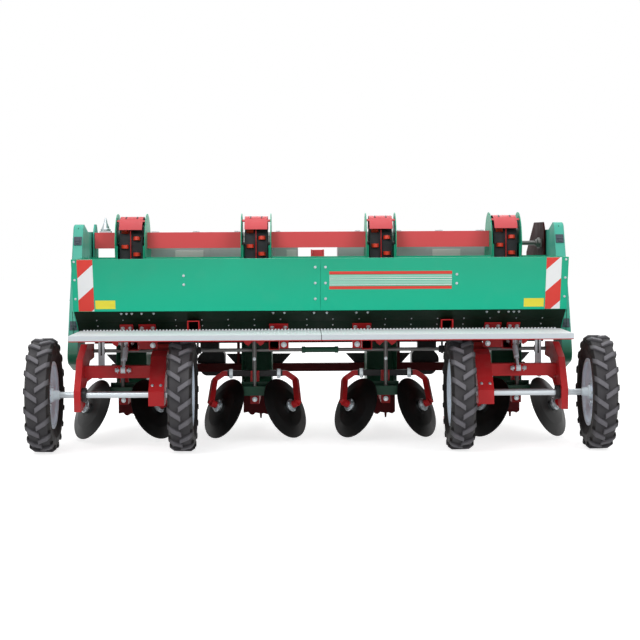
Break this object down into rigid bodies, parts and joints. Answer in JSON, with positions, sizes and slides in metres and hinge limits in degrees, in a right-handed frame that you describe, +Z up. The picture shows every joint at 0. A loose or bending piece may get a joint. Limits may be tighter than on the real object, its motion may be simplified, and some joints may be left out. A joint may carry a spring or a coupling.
{
  "type": "mounted potato planter",
  "caption": "Mounted potato planter with a wide seed hopper, cup-belt towers, closing discs, fertiliser boxes and lugged wheels.",
  "frame": {"origin": "on the ground, midway between the outermost points left and right, back and front", "axes": "+X to the machine's right side seen from behind, +Y in the direction of travel, +Z up"},
  "size_m": [3.76, 2.51, 1.561],
  "materials": {
    "hopper_green": "gloss enamel",
    "dark_green": "gloss enamel",
    "guard_teal": "gloss enamel",
    "frame_red": "gloss enamel",
    "dark_red": "gloss enamel",
    "galvanised": "galvanised",
    "steel": "bright bar",
    "zinc": "zinc plated",
    "rim_silver": "satin paint",
    "tyre_rubber": "worn rubber",
    "disc_black": "gloss black",
    "belt_black": "matt rubber",
    "cup_orange": "moulded",
    "box_grey": "satin",
    "black_iron": "satin black"
  },
  "bodies": {
    "frame": {"hopper_rear": "hopper_green", "hopper_ends": "hopper_green", "hopper_front": "hopper_green", "hopper_knee": "dark_green", "hopper_slope": "dark_green", "hopper_floor": "dark_green", "tower_side_plates": "hopper_green", "tower_front_covers": "hopper_green", "cup_belts": "belt_black", "seed_cups": "cup_orange", "upper_covers": "frame_red", "upper_shaft": "steel", "end_plates": "dark_red", "lower_tubes": "frame_red", "frame_beams": "dark_red", "frame_ties": "dark_red", "platform": "galvanised", "platform_arms": "frame_red", "platform_angle": "frame_red", "wheel_frame_tubes": "frame_red", "chain_cases": "frame_red", "wheel_arms": "frame_red", "turnbuckles": "zinc", "shaft_bearings": "black_iron", "drive_rods": "steel", "shaft_coupling": "dark_green", "row_bars": "frame_red", "closer_bases": "dark_green", "closer_brackets": "frame_red", "disc_arms": "frame_red", "disc_hubs": "zinc", "furrow_openers": "dark_red", "ridger_shares": "black_iron", "gearboxes": "black_iron", "headstock_plates": "frame_red", "hitch_pins": "steel", "beam_brackets": "dark_red", "fertiliser_box_left": "box_grey", "fertiliser_box_right": "box_grey"},
    "left_wheels": {"tyres_left": "tyre_rubber", "rims_left": "rim_silver", "axle_left": "steel"},
    "right_wheels": {"tyres_right": "tyre_rubber", "rims_right": "rim_silver", "axle_right": "steel"},
    "left_guard": {"guard_left": "guard_teal"},
    "right_guard": {"guard_right": "guard_teal"},
    "left_lid": {"fertiliser_lid_left": "box_grey"},
    "right_lid": {"fertiliser_lid_right": "box_grey"},
    "left_stand": {"stand_left": "frame_red"},
    "right_stand": {"stand_right": "frame_red"},
    "disc_body_1": {"disc_1": "disc_black"},
    "disc_body_2": {"disc_2": "disc_black"},
    "disc_body_3": {"disc_3": "disc_black"},
    "disc_body_4": {"disc_4": "disc_black"},
    "disc_body_5": {"disc_5": "disc_black"},
    "disc_body_6": {"disc_6": "disc_black"},
    "disc_body_7": {"disc_7": "disc_black"},
    "disc_body_8": {"disc_8": "disc_black"}
  },
  "joints": [
    {"name": "left_wheels_roll", "type": "hinge", "parent": "frame", "child": "left_wheels", "pos_m": [-1.35, -0.885, 0.37], "axis": [1, 0, 0], "continuous": true},
    {"name": "left_guard_door", "type": "hinge", "parent": "frame", "child": "left_guard", "pos_m": [-1.645, 0.557, 1.33], "axis": [0, 0, -1], "range_deg": [0, 95]},
    {"name": "left_lid_hinge", "type": "hinge", "parent": "frame", "child": "left_lid", "pos_m": [-0.825, 1.084, 1.42], "axis": [-1, 0, 0], "range_deg": [0, 100]},
    {"name": "left_stand_slide", "type": "slide", "parent": "frame", "child": "left_stand", "axis": [0, 0, 1], "range_m": [0, 0.3]},
    {"name": "right_wheels_roll", "type": "hinge", "parent": "frame", "child": "right_wheels", "pos_m": [1.35, -0.885, 0.37], "axis": [1, 0, 0], "continuous": true},
    {"name": "right_guard_door", "type": "hinge", "parent": "frame", "child": "right_guard", "pos_m": [1.645, 0.557, 1.33], "axis": [0, 0, 1], "range_deg": [0, 95]},
    {"name": "right_lid_hinge", "type": "hinge", "parent": "frame", "child": "right_lid", "pos_m": [0.825, 1.084, 1.42], "axis": [-1, 0, 0], "range_deg": [0, 100]},
    {"name": "right_stand_slide", "type": "slide", "parent": "frame", "child": "right_stand", "axis": [0, 0, 1], "range_m": [0, 0.3]},
    {"name": "disc_1_spin", "type": "hinge", "parent": "frame", "child": "disc_body_1", "pos_m": [-1.587, -0.385, 0.233], "axis": [-0.7574, -0.5108, 0.4067], "continuous": true},
    {"name": "disc_2_spin", "type": "hinge", "parent": "frame", "child": "disc_body_2", "pos_m": [-1.113, -0.385, 0.233], "axis": [0.7574, -0.5108, 0.4067], "continuous": true},
    {"name": "disc_3_spin", "type": "hinge", "parent": "frame", "child": "disc_body_3", "pos_m": [-0.687, -0.385, 0.233], "axis": [-0.7574, -0.5108, 0.4067], "continuous": true},
    {"name": "disc_4_spin", "type": "hinge", "parent": "frame", "child": "disc_body_4", "pos_m": [-0.213, -0.385, 0.233], "axis": [0.7574, -0.5108, 0.4067], "continuous": true},
    {"name": "disc_5_spin", "type": "hinge", "parent": "frame", "child": "disc_body_5", "pos_m": [0.213, -0.385, 0.233], "axis": [-0.7574, -0.5108, 0.4067], "continuous": true},
    {"name": "disc_6_spin", "type": "hinge", "parent": "frame", "child": "disc_body_6", "pos_m": [0.687, -0.385, 0.233], "axis": [0.7574, -0.5108, 0.4067], "continuous": true},
    {"name": "disc_7_spin", "type": "hinge", "parent": "frame", "child": "disc_body_7", "pos_m": [1.113, -0.385, 0.233], "axis": [-0.7574, -0.5108, 0.4067], "continuous": true},
    {"name": "disc_8_spin", "type": "hinge", "parent": "frame", "child": "disc_body_8", "pos_m": [1.587, -0.385, 0.233], "axis": [0.7574, -0.5108, 0.4067], "continuous": true}
  ]
}
